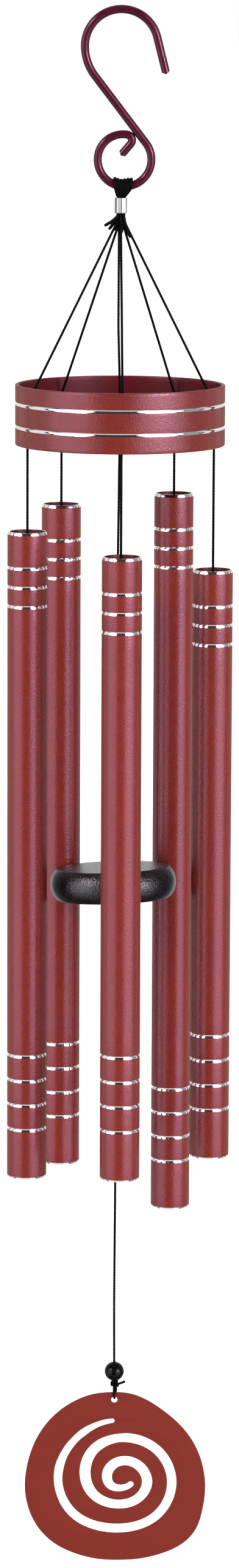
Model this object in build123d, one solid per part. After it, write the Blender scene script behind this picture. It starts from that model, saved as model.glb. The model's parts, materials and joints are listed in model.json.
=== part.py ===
from build123d import *
import os
from math import cos, radians, sin, sqrt

os.makedirs("parts", exist_ok=True)

# Five-tube wind chime. Millimetres, +Z up. The origin is the inside top of
# the hook's crook, the point that rests on whatever the chime hangs from.
# X runs across the S of the hook, -Y is the front. Bearings are degrees from
# +X towards +Y.

# ---- shared dimensions ----------------------------------------------------
CORD_R = 0.85
FLEX_GAP = 0.2  # between the lengths of a cord that swings
FLEX_DROP = 1.0  # flex point below the ring or disc
HANG_R = 77.5  # tube axes from the chime's axis

TUBE_OD = 31.75
TUBE_ID = 27.75
TUBE_R = TUBE_OD / 2
# name, bearing, bearing of its cord in the crimp, top z, length, pin bearing
TUBES = (
    ("a", -160.5, 190, -406.75, 524.6, 18.0),
    ("b", 127.5, 110, -394.25, 545.8, -95.0),
    ("c", -88.5, 270, -420.45, 500.2, 155.0),
    ("d", 55.5, 70, -385.35, 592.8, -166.0),
    ("e", -16.5, 350, -437.05, 477.8, 162.0),
)
GROOVE_W = 2.6  # decorative grooves of the ring and tubes

UP = (0, 0, 1)
DOWN = (0, 0, -1)


# ---- helpers --------------------------------------------------------------
def save(shape, node):
    export_step(shape, f"parts/{node}.step")


def save_group(solids, node):
    save(Compound(children=list(solids)), node)


def rod(edges, radius):
    """A round bar along joined edges."""
    path = Wire(edges)
    start = Plane(origin=path.position_at(0), z_dir=path.tangent_at(0))
    return sweep(start * Circle(radius), path=path).solids()[0]


def cord(edges):
    return rod(edges, CORD_R)


def bent_cord(points, bend_r):
    """A cord through points, its corners rounded."""
    return cord(FilletPolyline(*points, radius=bend_r).edges())


def spline(start, start_dir, end, end_dir):
    return Edge.make_spline(
        [Vector(start), Vector(end)],
        tangents=[Vector(start_dir).normalized(), Vector(end_dir).normalized()],
    )


def upright(radius, top_z, bottom_z, x=0.0, y=0.0):
    """A plain vertical cylinder."""
    return Pos(x, y, (top_z + bottom_z) / 2) * Cylinder(radius, top_z - bottom_z)


def pipe(outer_r, inner_r, top_z, bottom_z):
    return upright(outer_r, top_z, bottom_z) - upright(inner_r, top_z, bottom_z)


def circles(shape):
    return shape.edges().filter_by(GeomType.CIRCLE)


def groove(radius, z, depth):
    """Cutter for a shallow round-bottomed groove round a cylinder."""
    groove_r = (GROOVE_W**2 / 4 + depth**2) / (2 * depth)
    return Pos(0, 0, z) * Torus(radius + groove_r - depth, groove_r)


def polar(radius, bearing):
    """x and y at a radius and bearing."""
    return radius * cos(radians(bearing)), radius * sin(radians(bearing))


# ---- S-hook, one bent steel rod -------------------------------------------
# Radii are to the rod's centreline. Angles are from +X towards +Z.
ROD_D = 6.35
CROOK_R = 28.8
CROOK_LEG_DEG = 14.3  # lean of the straight open leg
CROOK_LEG_LEN = 29.0
SHANK_R = 38.1  # easy bend from the crook into the shank
SHANK_DEG = 37.5
CURL_R = 21.15
CURL_BOTTOM_Z = -138.65  # outside of the curl
CURL_IN_R = 19.8
CURL_IN_END_DEG = 80.0
TUCK_R = 4.5  # tight bend of the tucked-in end
TUCK_LEN = 11.0
TUCK_DEG = -40.7
ROD_END_CHAMFER = 0.9
ROD_END_REACH = 0.5  # a rim centred this near a rod tip is an end rim


def on_arc(centre, radius, deg):
    """The point at an angle on a circle in the XZ plane."""
    return centre + Vector(radius * cos(radians(deg)), 0, radius * sin(radians(deg)))


def clockwise(deg):
    """Clockwise tangent of such a circle at an angle, seen from the front."""
    return Vector(sin(radians(deg)), 0, -cos(radians(deg)))


def arc_xz(centre, radius, start_deg, end_deg):
    angles = (start_deg, (start_deg + end_deg) / 2, end_deg)
    return Edge.make_three_point_arc(*(on_arc(centre, radius, deg) for deg in angles))


crook_centre = Vector(0, 0, ROD_D / 2 - CROOK_R)
leg_start = on_arc(crook_centre, CROOK_R, CROOK_LEG_DEG)
leg_tip = leg_start + clockwise(CROOK_LEG_DEG) * CROOK_LEG_LEN
shank_centre = crook_centre + Vector(SHANK_R - CROOK_R, 0, 0)
shank_start = on_arc(shank_centre, SHANK_R, 180 + SHANK_DEG)
curl_z = CURL_BOTTOM_Z + ROD_D / 2 + CURL_R
shank_end_z = curl_z + CURL_R * sin(radians(SHANK_DEG))
shank_len = (shank_start.Z - shank_end_z) / cos(radians(SHANK_DEG))
shank_end = shank_start + clockwise(SHANK_DEG) * shank_len
curl_x = shank_end.X - CURL_R * cos(radians(SHANK_DEG))
curl_centre = Vector(curl_x, 0, curl_z)
curl_in_centre = curl_centre + Vector(CURL_IN_R - CURL_R, 0, 0)
tuck_centre = on_arc(curl_in_centre, CURL_IN_R - TUCK_R, CURL_IN_END_DEG)
tuck_end = on_arc(tuck_centre, TUCK_R, TUCK_DEG)
tuck_tip = tuck_end + clockwise(TUCK_DEG) * TUCK_LEN


def make_s_hook():
    hook = rod(
        [
            Edge.make_line(leg_tip, leg_start),
            arc_xz(crook_centre, CROOK_R, CROOK_LEG_DEG, 180),
            arc_xz(shank_centre, SHANK_R, 180, 180 + SHANK_DEG),
            Edge.make_line(shank_start, shank_end),
            arc_xz(curl_centre, CURL_R, SHANK_DEG, -180),
            arc_xz(curl_in_centre, CURL_IN_R, 180, CURL_IN_END_DEG),
            arc_xz(tuck_centre, TUCK_R, CURL_IN_END_DEG, TUCK_DEG),
            Edge.make_line(tuck_end, tuck_tip),
        ],
        ROD_D / 2,
    )
    end_rims = [
        e
        for e in circles(hook)
        if min((e.center(CenterOf.MASS) - tip).length for tip in (leg_tip, tuck_tip))
        < ROD_END_REACH
    ]
    return chamfer(end_rims, ROD_END_CHAMFER)


save(make_s_hook(), "s_hook")

# ---- crimp and the cords in it --------------------------------------------
FERRULE_OD = 9.9
FERRULE_ID = 7.3
FERRULE_TOP_Z = -144.15
FERRULE_LEN = 12.4
FERRULE_FILLET = 0.3
BUNDLE_GAP_ABOVE = 0.9  # flex gaps over and under the crimp
BUNDLE_GAP_BELOW = 0.45
ferrule_bottom_z = FERRULE_TOP_Z - FERRULE_LEN
cord_start_z = ferrule_bottom_z - BUNDLE_GAP_BELOW

# x and y of the twelve cords in the crimp, by bearing: nine round three.
outer = {b: polar(2.64, b) for b in range(30, 390, 40)}
inner = {b: polar(1.0, b) for b in (90, 210, 330)}

ferrule = pipe(FERRULE_OD / 2, FERRULE_ID / 2, FERRULE_TOP_Z, ferrule_bottom_z)
save(fillet(circles(ferrule), FERRULE_FILLET), "crimp_ferrule")
save_group(
    [
        upright(CORD_R, FERRULE_TOP_Z, ferrule_bottom_z, x, y)
        for x, y in (*outer.values(), *inner.values())
    ],
    "crimped_cords",
)

# ---- cord loops over the curl ---------------------------------------------
LOOP_PITCH = 2.5
LOOP_CENTRE_X = 2.1
LOOP_WRAP_R = 4.75  # cord centreline round the rod
# Where each loop's front and back legs enter the crimp, from -X to +X.
LOOP_SPOTS = (
    (outer[230], outer[190]),
    (inner[210], outer[150]),
    (outer[270], outer[110]),
    (inner[330], inner[90]),
    (outer[310], outer[70]),
    (outer[350], outer[30]),
)


def make_hook_loop(x, front_spot, back_spot):
    rod_z = curl_z - sqrt(CURL_R**2 - (x - curl_x) ** 2)
    end_z = FERRULE_TOP_Z + BUNDLE_GAP_ABOVE
    front = (x, -LOOP_WRAP_R, rod_z)
    back = (x, LOOP_WRAP_R, rod_z)
    return cord(
        [
            spline((*front_spot, end_z), UP, front, UP),
            Edge.make_three_point_arc(front, (x, 0, rod_z + LOOP_WRAP_R), back),
            spline(back, DOWN, (*back_spot, end_z), DOWN),
        ]
    )


first_loop_x = LOOP_CENTRE_X - (len(LOOP_SPOTS) - 1) / 2 * LOOP_PITCH
save_group(
    [
        make_hook_loop(first_loop_x + i * LOOP_PITCH, *spots)
        for i, spots in enumerate(LOOP_SPOTS)
    ],
    "hook_cord_loops",
)

# ---- hanging ring and its support disc ------------------------------------
RING_R = 167.0 / 2
RING_WALL = 3.2
RING_H = 47.8
RING_TOP_Z = -291.95
RING_CHAMFER = 0.5
RING_GROOVE_DROPS = (14.6, 32.9)
RING_GROOVE_DEPTH = 0.4
DISC_DROP = 15.0  # disc top below the ring's
DISC_T = 3.0
DISC_CLEARANCE = 0.05
CORD_HOLE_R = 1.15
ring_in_r = RING_R - RING_WALL
ring_bottom_z = RING_TOP_Z - RING_H
disc_top_z = RING_TOP_Z - DISC_DROP
disc_bottom_z = disc_top_z - DISC_T
flex_z = ring_bottom_z - FLEX_DROP  # where a tube cord starts to swing
striker_flex_z = disc_bottom_z - FLEX_DROP


def make_ring():
    ring = pipe(RING_R, ring_in_r, RING_TOP_Z, ring_bottom_z)
    ring = chamfer(circles(ring), RING_CHAMFER)
    for drop in RING_GROOVE_DROPS:
        ring -= groove(RING_R, RING_TOP_Z - drop, RING_GROOVE_DEPTH)
    return ring


def make_support_disc():
    disc = upright(ring_in_r - DISC_CLEARANCE, disc_top_z, disc_bottom_z)
    disc -= upright(CORD_HOLE_R, disc_top_z, disc_bottom_z)
    for _, bearing, *_ in TUBES:
        disc -= upright(CORD_HOLE_R, disc_top_z, disc_bottom_z, *polar(HANG_R, bearing))
    return disc


save(make_ring(), "hanging_ring")
save(make_support_disc(), "support_disc")

# ---- cords from the crimp to the disc -------------------------------------
STOP_KNOT_R = 2.0
STOP_KNOT_GAP = 0.1  # under the disc
KNEE_R = 5.0  # cord bend at the disc
KNEE_RISE = 1.6  # bend corner above the disc
STRIKER_CORD_PLUMB = 30  # plumb length under the crimp
STRIKER_CORD_RISE = 8  # corner above the disc
STRIKER_CORD_BEND_R = 40

# Loose ends left under the crimp: place in the bundle, end x, end y, drop.
TAILS = (
    (outer[230], -12.4, -6.9, 8.8),
    (outer[150], -9.6, 5.2, 11.8),
    (inner[210], -3.6, -2.0, 14.0),
    (outer[310], 6.8, -7.0, 15.5),
    (outer[30], 9.0, 5.8, 12.0),
    (inner[330], 2.6, -2.2, 17.0),
)
TAIL_START_RISE = 0.2
TAIL_END_FALL = 0.7  # final downward slope as a share of the drop


def make_upper_cord(bearing, crimp_bearing):
    x, y = polar(HANG_R, bearing)
    points = (
        (*outer[crimp_bearing], cord_start_z),
        (x, y, disc_top_z + KNEE_RISE),
        (x, y, flex_z),
    )
    knot_z = disc_bottom_z - STOP_KNOT_GAP - STOP_KNOT_R
    return bent_cord(points, KNEE_R) + Pos(x, y, knot_z) * Sphere(STOP_KNOT_R)


def make_upper_striker_cord():
    points = (
        (*inner[90], cord_start_z),
        (*inner[90], cord_start_z - STRIKER_CORD_PLUMB),
        (0, 0, disc_top_z + STRIKER_CORD_RISE),
        (0, 0, striker_flex_z),
    )
    return bent_cord(points, STRIKER_CORD_BEND_R)


def make_tail(spot, end_x, end_y, drop):
    start = (*spot, cord_start_z + TAIL_START_RISE)
    end = (end_x, end_y, cord_start_z - drop)
    end_dir = (end_x - spot[0], end_y - spot[1], -drop * TAIL_END_FALL)
    return cord([spline(start, DOWN, end, end_dir)])


for name, bearing, crimp_bearing, *_ in TUBES:
    save(make_upper_cord(bearing, crimp_bearing), f"upper_cord_{name}")
save(make_upper_striker_cord(), "upper_cord_striker")
save_group([make_tail(*row) for row in TAILS], "cord_tails")

# ---- tubes, their cross pins and cords ------------------------------------
TUBE_GROOVE_DEPTH = 0.35
UPPER_GROOVES = [28.5 + k * 15.4 for k in range(3)]  # below the tube's top
LOWER_GROOVES = [40.5 + k * 20.2 for k in range(4)]  # above its bottom
TUBE_TAPER = 0.9  # top taper, on the radius
TUBE_TAPER_H = 2.2
TUBE_FOOT_CHAMFER = 0.8
PIN_R = 1.6
PIN_DROP = 17.0
PIN_HOLE_GAP = 0.04
PIN_END_GAP = 0.02  # pin ends inside the tube's surface
PIN_BLANK_LEN = TUBE_OD + 4
PIN_TRIM_HALF = 5  # half height of the cylinder that trims the pin
LOOP_KNOT_RISE = 9.0  # knot above the pin
LOOP_KNOT_R = 2.0
LOOP_ROUND_PIN_R = 2.55
LOOP_TOP_HALF = 1.0  # half width at the loop's ends
LOOP_TOP_DROP = 0.6  # loop's ends below the knot's centre
KNOT_CORD_GAP = 0.05


def pin_rod(radius, pin_z, pin_bearing):
    lay = Plane(origin=(0, 0, pin_z), z_dir=(*polar(1, pin_bearing), 0))
    return lay * Cylinder(radius, PIN_BLANK_LEN)


def make_tube(top_z, bottom_z, pin_z, pin_bearing):
    tube = pipe(TUBE_R, TUBE_ID / 2, top_z, bottom_z)
    foot_rims = [
        e
        for e in circles(tube)
        if e.radius > TUBE_R - 0.1 and e.center(CenterOf.MASS).Z < bottom_z + 1
    ]
    top_taper = Pos(0, 0, top_z) * Cone(
        TUBE_R,
        TUBE_R - TUBE_TAPER,
        TUBE_TAPER_H,
        align=(Align.CENTER, Align.CENTER, Align.MAX),
    )
    envelope = upright(TUBE_R, top_z - TUBE_TAPER_H, bottom_z) + top_taper
    tube = chamfer(foot_rims, TUBE_FOOT_CHAMFER) & envelope
    groove_zs = [top_z - drop for drop in UPPER_GROOVES]
    groove_zs += [bottom_z + rise for rise in LOWER_GROOVES]
    for z in groove_zs:
        tube -= groove(TUBE_R, z, TUBE_GROOVE_DEPTH)
    return tube - pin_rod(PIN_R + PIN_HOLE_GAP, pin_z, pin_bearing)


def make_cross_pin(pin_z, pin_bearing):
    trim = upright(TUBE_R - PIN_END_GAP, pin_z + PIN_TRIM_HALF, pin_z - PIN_TRIM_HALF)
    return pin_rod(PIN_R, pin_z, pin_bearing) & trim


def make_pin_loop():
    """Loop in the XZ plane round a pin at the origin, gathered in a knot."""
    half_w = LOOP_ROUND_PIN_R
    end_z = LOOP_KNOT_RISE - LOOP_TOP_DROP
    left, right = (-half_w, 0, 0), (half_w, 0, 0)
    loop = cord(
        [
            spline((-LOOP_TOP_HALF, 0, end_z), DOWN, left, DOWN),
            Edge.make_three_point_arc(left, (0, 0, -half_w), right),
            spline(right, UP, (LOOP_TOP_HALF, 0, end_z), UP),
        ]
    )
    return loop + Pos(0, 0, LOOP_KNOT_RISE) * Sphere(LOOP_KNOT_R)


for name, bearing, _, top_z, length, pin_bearing in TUBES:
    x, y = polar(HANG_R, bearing)
    pin_z = top_z - PIN_DROP
    tube = make_tube(top_z, top_z - length, pin_z, pin_bearing)
    save(Pos(x, y, 0) * tube, f"tube_{name}")
    save(Pos(x, y, 0) * make_cross_pin(pin_z, pin_bearing), f"cross_pin_{name}")
    # The loop's plane is at right angles to the pin.
    loop = Pos(x, y, pin_z) * Rot(0, 0, pin_bearing + 90) * make_pin_loop()
    save(loop, f"pin_loop_{name}")
    cord_end_z = pin_z + LOOP_KNOT_RISE + LOOP_KNOT_R + KNOT_CORD_GAP
    save(upright(CORD_R, flex_z - FLEX_GAP, cord_end_z, x, y), f"tube_cord_{name}")

# ---- striker --------------------------------------------------------------
STRIKER_R = 101.6 / 2  # at the middle of its bulged edge
STRIKER_FACE_R = 91.0 / 2
STRIKER_HALF_T = 25.4 / 2
STRIKER_Z = -694.75
STRIKER_RIM_FILLET = 1.2
STRIKER_HOLE_R = 2.3
STRIKER_HOLE_CHAMFER = 0.5
STRIKER_KNOT_R = 3.0
STRIKER_KNOT_GAP = 0.45
STRIKER_TILT_DEG = -4.88
STRIKER_TILT_AXIS = (0.8192, 0.5735, 0.0)
STRIKER_LEAN_DEG = 0.6  # its line hangs a little off plumb, towards -X
striker_knot_z = STRIKER_Z - STRIKER_HALF_T - STRIKER_KNOT_GAP - STRIKER_KNOT_R
striker_pivot = Vector(0, 0, striker_flex_z)


def on_striker_line(shape):
    """Turn a part modelled plumb on to the striker's line."""
    return shape.rotate(Axis(tuple(striker_pivot), (0, 1, 0)), STRIKER_LEAN_DEG)


def face_rims(disc):
    """Circular edges on the striker's flat faces."""
    return [
        e
        for e in circles(disc)
        if abs(abs(e.center(CenterOf.MASS).Z) - STRIKER_HALF_T) < 0.01
    ]


def make_striker():
    top_rim = (STRIKER_FACE_R, STRIKER_HALF_T)
    bottom_rim = (STRIKER_FACE_R, -STRIKER_HALF_T)
    with BuildPart() as turned:
        with BuildSketch(Plane.XZ):
            with BuildLine():
                Polyline(
                    top_rim,
                    (STRIKER_HOLE_R, STRIKER_HALF_T),
                    (STRIKER_HOLE_R, -STRIKER_HALF_T),
                    bottom_rim,
                )
                ThreePointArc(bottom_rim, (STRIKER_R, 0), top_rim)
            make_face()
        revolve(axis=Axis.Z)
    disc = turned.part
    disc = fillet([e for e in face_rims(disc) if e.radius > 20], STRIKER_RIM_FILLET)
    disc = chamfer([e for e in face_rims(disc) if e.radius < 3], STRIKER_HOLE_CHAMFER)
    disc = disc.rotate(Axis((0, 0, 0), STRIKER_TILT_AXIS), STRIKER_TILT_DEG)
    return Pos(0, 0, STRIKER_Z) * disc


def make_striker_cord():
    line = upright(CORD_R, striker_flex_z - FLEX_GAP, striker_knot_z)
    return line + Pos(0, 0, striker_knot_z) * Sphere(STRIKER_KNOT_R)


save(on_striker_line(make_striker()), "striker_disc")
save(on_striker_line(make_striker_cord()), "striker_cord")

# ---- sail line: cord, bead and loop ---------------------------------------
SAIL_LEAN_DEG = -0.405  # from plumb, back towards +X
SAIL_FLEX_DROP = 0.3  # under the striker's knot
BEAD_D = 15.0
BEAD_Z = -1102.55
BEAD_HOLE_R = 0.98
BEAD_TRIM = 0.3  # taken off the height, half at each end
BEAD_CORD_GAP = 0.05
SAIL_KNOT_Z = -1112.4
SAIL_KNOT_R = 2.2
SAIL_HOLE_Z = -1126.65
SAIL_HOLE_R = 2.6
SAIL_HANG_GAP = 0.15  # between the cord and the top of the hole
SAIL_LOOP_HALF = 2.15
SAIL_LOOP_TOP_HALF = 0.9
SAIL_LOOP_TOP_DROP = 0.4  # loop's ends below the knot's centre
SAIL_LOOP_SHOULDER_Z = -1120.0
SAIL_BEND_R = 1.2
sail_flex_z = striker_knot_z - STRIKER_KNOT_R - SAIL_FLEX_DROP
sail_pivot = striker_pivot + Vector(0, 0, sail_flex_z - striker_flex_z).rotate(
    Axis.Y, STRIKER_LEAN_DEG
)


def on_sail_line(shape):
    """Turn a part modelled plumb on to the sail's line."""
    pivot = Axis(tuple(sail_pivot), (0, 1, 0))
    return on_striker_line(shape).rotate(pivot, SAIL_LEAN_DEG - STRIKER_LEAN_DEG)


def make_bead():
    bead = Sphere(BEAD_D / 2) - Cylinder(BEAD_HOLE_R, BEAD_D + 2)
    return Pos(0, 0, BEAD_Z) * (bead & Cylinder(BEAD_D, BEAD_D - BEAD_TRIM))


def make_sail_loop():
    hang_z = SAIL_HOLE_Z + SAIL_HOLE_R - CORD_R - SAIL_HANG_GAP
    top_z = SAIL_KNOT_Z - SAIL_LOOP_TOP_DROP
    points = (
        (0, -SAIL_LOOP_TOP_HALF, top_z),
        (0, -SAIL_LOOP_HALF, SAIL_LOOP_SHOULDER_Z),
        (0, -SAIL_LOOP_HALF, hang_z),
        (0, SAIL_LOOP_HALF, hang_z),
        (0, SAIL_LOOP_HALF, SAIL_LOOP_SHOULDER_Z),
        (0, SAIL_LOOP_TOP_HALF, top_z),
    )
    loop = bent_cord(points, SAIL_BEND_R)
    loop += Pos(0, 0, SAIL_KNOT_Z) * Sphere(SAIL_KNOT_R)
    # loose end, out of the knot towards +X
    start, end = (1.0, 0, SAIL_KNOT_Z), (8.2, -0.6, SAIL_KNOT_Z + 1.2)
    return loop + cord([spline(start, (1, 0, -0.25), end, (1, 0, 0.5))])


bead_cord_z = BEAD_Z - BEAD_D / 2 - BEAD_CORD_GAP
save(on_sail_line(upright(CORD_R, sail_flex_z - FLEX_GAP, bead_cord_z)), "sail_cord")
save(on_sail_line(make_bead()), "sail_bead")
save(on_sail_line(make_sail_loop()), "sail_loop")

# ---- wind sail ------------------------------------------------------------
SAIL_T = 2.0
SLOT_STEPS = 84
# Outer edge, clockwise from the front: x, z from the hanging hole.
SAIL_OUTLINE = (
    (-0.9, 6.2), (11.0, 5.4), (23.5, 1.2), (39.8, -9.2), (55.4, -23.4),
    (66.1, -39.0), (72.3, -55.9), (74.5, -74.7), (72.3, -93.5), (66.0, -111.7),
    (54.8, -123.4), (38.5, -131.2), (19.7, -135.7), (1.6, -136.7),
    (-11.6, -136.1), (-30.4, -131.8), (-49.2, -122.7), (-62.9, -109.1),
    (-71.0, -92.2), (-73.9, -73.4), (-71.7, -54.6), (-64.2, -33.2),
    (-49.2, -13.0), (-32.9, -1.3), (-17.9, 4.5),
)
# Spiral slot, from its outer end: centreline x, z from the hole, slot width.
SPIRAL = (
    (-1.85, -18.0, 3.6), (-31.5, -33.0, 5.4), (-46.5, -66.2, 6.6),
    (-35.0, -96.0, 7.4), (0.9, -109.6, 7.9), (34.0, -99.0, 7.6),
    (46.9, -72.7, 7.5), (36.5, -44.5, 7.9), (5.9, -32.5, 8.3),
    (-17.5, -43.0, 8.8), (-24.3, -62.3, 9.0), (-17.5, -80.5, 8.5),
    (3.4, -89.1, 8.0), (20.5, -83.0, 8.2), (26.7, -70.2, 8.4),
    (20.5, -56.8, 8.3), (7.7, -52.0, 8.2), (-2.6, -56.5, 8.4),
    (-6.3, -65.6, 8.4), (-3.6, -72.6, 7.4), (4.0, -75.3, 6.0),
    (13.1, -72.1, 4.9),
)


def slot_width(point):
    """The slot's width at a point, between those of the two nearest stations."""
    nearest = sorted(((point - Vector(x, z)).length, width) for x, z, width in SPIRAL)
    (dist_0, width_0), (dist_1, width_1) = nearest[:2]
    return (width_0 * dist_1 + width_1 * dist_0) / (dist_0 + dist_1)


def round_end(start, end, outward):
    """Half circle between two points, bulging along outward."""
    tip = (start + end) * 0.5 + outward * ((start - end).length / 2)
    return Edge.make_three_point_arc(start, tip, end)


def make_slot_face():
    centreline = Edge.make_spline([Vector(x, z) for x, z, _ in SPIRAL])
    left, right = [], []  # sides of the slot, looking along the centreline
    for k in range(SLOT_STEPS + 1):
        point = centreline.position_at(k / SLOT_STEPS)
        tangent = centreline.tangent_at(k / SLOT_STEPS)
        offset = Vector(-tangent.Y, tangent.X) * (slot_width(point) / 2)
        left.append(point + offset)
        right.append(point - offset)
    edges = [
        Edge.make_spline(left),
        round_end(left[-1], right[-1], centreline.tangent_at(1)),
        Edge.make_spline(right[::-1]),
        round_end(right[0], left[0], centreline.tangent_at(0) * -1),
    ]
    return Face(Wire(edges))


def make_sail():
    outline = Edge.make_spline([Vector(x, z) for x, z in SAIL_OUTLINE], periodic=True)
    plate = extrude(Face(Wire([outline])), amount=SAIL_T, dir=UP)
    plate -= extrude(make_slot_face(), amount=SAIL_T, dir=UP)
    plate -= Pos(0, 0, SAIL_T / 2) * Cylinder(SAIL_HOLE_R, SAIL_T + 1)
    return Pos(0, SAIL_T / 2, SAIL_HOLE_Z) * Rot(90, 0, 0) * plate


save(on_sail_line(make_sail()), "wind_sail")
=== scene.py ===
"""A wind chime: five tubes under a ring, a striker disc, and a wind sail on a long line.

It hangs along Z from an S-hook, whose crook rests on the origin. X runs left to right
and -Y faces the camera. Meshes are laid out in millimetres and scaled to metres when
made; the CAD boxes and joints are converted to millimetres as they are read.
"""

import json
import math
import random
from math import atan2, cos, pi, radians, sin, sqrt

import bmesh
import bpy
import numpy as np
from mathutils import Matrix, Vector


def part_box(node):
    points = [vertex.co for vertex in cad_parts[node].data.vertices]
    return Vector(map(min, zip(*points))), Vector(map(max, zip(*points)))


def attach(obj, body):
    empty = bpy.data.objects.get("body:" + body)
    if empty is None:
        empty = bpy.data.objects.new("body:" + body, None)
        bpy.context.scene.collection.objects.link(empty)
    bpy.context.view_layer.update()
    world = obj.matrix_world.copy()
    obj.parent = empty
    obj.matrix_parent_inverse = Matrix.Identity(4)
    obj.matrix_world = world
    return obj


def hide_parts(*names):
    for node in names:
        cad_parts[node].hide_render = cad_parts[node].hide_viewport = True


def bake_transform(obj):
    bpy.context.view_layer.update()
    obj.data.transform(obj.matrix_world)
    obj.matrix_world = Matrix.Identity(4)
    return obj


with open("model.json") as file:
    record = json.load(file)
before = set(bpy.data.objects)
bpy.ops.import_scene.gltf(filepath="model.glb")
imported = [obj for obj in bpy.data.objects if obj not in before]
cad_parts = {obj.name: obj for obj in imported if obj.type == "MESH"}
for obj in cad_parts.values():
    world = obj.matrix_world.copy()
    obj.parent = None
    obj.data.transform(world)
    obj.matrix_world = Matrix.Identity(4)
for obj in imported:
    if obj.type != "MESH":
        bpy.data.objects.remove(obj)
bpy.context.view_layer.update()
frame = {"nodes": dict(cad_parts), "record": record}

MM = 0.001
rng = random.Random(11)


# ===========================================================================
# shader nodes
# ===========================================================================
class Graph:
    """Short ways to add nodes to an emptied node tree."""

    def __init__(self, tree):
        self.tree = tree
        tree.nodes.clear()

    def node(self, kind, **props):
        node = self.tree.nodes.new("ShaderNode" + kind)
        for key, value in props.items():
            setattr(node, key, value)
        return node

    def feed(self, socket, value):
        """Sets a socket to a number or a colour, or links another socket to it."""
        if isinstance(value, (int, float)):
            socket.default_value = value
        elif isinstance(value, tuple):
            socket.default_value = (*value, 1.0)
        else:
            self.tree.links.new(value, socket)

    def fill(self, node, values):
        for key, value in values.items():
            self.feed(node.inputs[key], value)
        return node

    def math(self, operation, first, second=None):
        node = self.node("Math", operation=operation)
        self.feed(node.inputs[0], first)
        if second is not None:
            self.feed(node.inputs[1], second)
        return node.outputs[0]

    def remap(self, value, span, to=(0.0, 1.0), smooth=False):
        """Carries the range `span` onto the range `to`, clamped."""
        kind = "SMOOTHSTEP" if smooth else "LINEAR"
        values = {"Value": value, "From Min": span[0], "From Max": span[1]}
        values.update({"To Min": to[0], "To Max": to[1]})
        return self.fill(self.node("MapRange", interpolation_type=kind), values).outputs["Result"]

    def mix(self, factor, first, second, mode="MIX"):
        node = self.node("Mix", data_type="RGBA", blend_type=mode)
        # 0, 6 and 7 are the factor and the two colours
        return self.fill(node, {0: factor, 6: first, 7: second}).outputs[2]

    def coords(self, scale=(1, 1, 1)):
        mapping = self.node("Mapping")
        mapping.inputs["Scale"].default_value = scale
        self.feed(mapping.inputs["Vector"], self.node("TexCoord").outputs["Object"])
        return mapping.outputs["Vector"]

    def noise(self, vector, scale, detail=2.0, rough=0.5, distortion=0.0):
        values = {"Scale": scale, "Detail": detail, "Roughness": rough}
        values.update({"Distortion": distortion, "Vector": vector})
        return self.fill(self.node("TexNoise"), values).outputs["Fac"]

    def voronoi(self, vector, scale, feature="SMOOTH_F1"):
        node = self.node("TexVoronoi", feature=feature)
        if feature == "SMOOTH_F1":
            node.inputs["Smoothness"].default_value = 0.6
        return self.fill(node, {"Scale": scale, "Vector": vector}).outputs["Distance"]

    def bump(self, height, strength, distance):
        values = {"Strength": strength, "Distance": distance, "Height": height}
        return self.fill(self.node("Bump"), values).outputs["Normal"]

    def facing(self):
        """0 where the surface faces the viewer, 1 where it turns away."""
        return self.fill(self.node("LayerWeight"), {"Blend": 0.5}).outputs["Facing"]


def new_material(name):
    mat = bpy.data.materials.new(name)
    mat.use_nodes = True
    g = Graph(mat.node_tree)
    out = g.node("OutputMaterial")
    bsdf = g.node("BsdfPrincipled")
    g.feed(out.inputs[0], bsdf.outputs[0])
    return mat, g, bsdf


# ===========================================================================
# materials (texture scales and bump distances are in metres)
# ===========================================================================
def coat_material(name, base, low, rough, grain, depth, tint, spec, speck=True):
    """Textured powder coat: leathery grain, cloudy colour, a few dark specks."""
    mat, g, bsdf = new_material(name)
    vector = g.coords()
    cloud = g.noise(vector, scale=42.0, detail=3.0, rough=0.6)
    color = g.mix(g.remap(cloud, span=(0.35, 0.68)), base, low)
    fine = g.noise(vector, scale=grain * 0.92, detail=1.0, rough=0.35)
    lit, pit = (1.05, 0.88) if speck else (1.01, 0.97)
    pits = g.mix(g.remap(fine, span=(0.36, 0.64)), (lit, lit, lit), (pit, pit, pit))
    color = g.mix(1.0, color, pits, "MULTIPLY")
    if speck:
        dots = g.voronoi(vector, scale=82.0, feature="F1")
        spots = g.remap(dots, span=(0.045, 0.028), to=(0.0, 0.75))
        color = g.mix(spots, color, (0.02, 0.008, 0.008))
    wear = g.noise(vector, scale=95.0, detail=4.0, rough=0.6)
    cells = g.voronoi(vector, scale=grain)
    peel = g.noise(vector, scale=grain * 0.9, detail=1.0, rough=0.35)
    height = g.math("ADD", g.math("MULTIPLY", cells, 0.45), peel)
    g.fill(bsdf, {
        "Base Color": color,
        "Roughness": g.remap(wear, span=(0.3, 0.7), to=(rough - 0.05, rough + 0.06)),
        "Normal": g.bump(height, strength=1.0, distance=depth),
        # the coat is dull at a grazing angle
        "Specular IOR Level": g.remap(
            g.facing(), span=(0.42, 0.78), to=(spec, 0.02), smooth=True
        ),
        "Specular Tint": tint,
    })
    return mat


def metal_material(name, base, rough, lines, strength, axis_scale=(1, 1, 1), painted_rim=None):
    """Bright metal with fine machining lines, a slightly uneven polish, and an optional painted
    shade on edges turned from view.
    """
    mat, g, bsdf = new_material(name)
    marks = g.noise(g.coords(axis_scale), scale=lines, detail=3.0, rough=0.6)
    blot = g.noise(g.coords(), scale=160.0, detail=3.0, rough=0.6)
    darker = tuple(c * 0.86 for c in base)
    color = g.mix(g.remap(blot, span=(0.4, 0.75), to=(0.0, 0.5)), base, darker)
    # painted shade: the colour turns to the rim colour toward the edges that turn from the view
    if painted_rim:
        edge = g.remap(g.facing(), span=(0.12, 0.62), smooth=True)
        color = g.mix(edge, color, painted_rim)
    g.fill(bsdf, {
        "Base Color": color,
        "Metallic": 1.0,
        "Roughness": g.remap(blot, span=(0.3, 0.7), to=(rough * 0.7, rough * 1.35)),
        "Normal": g.bump(marks, strength=strength, distance=0.00002),
    })
    return mat


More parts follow.
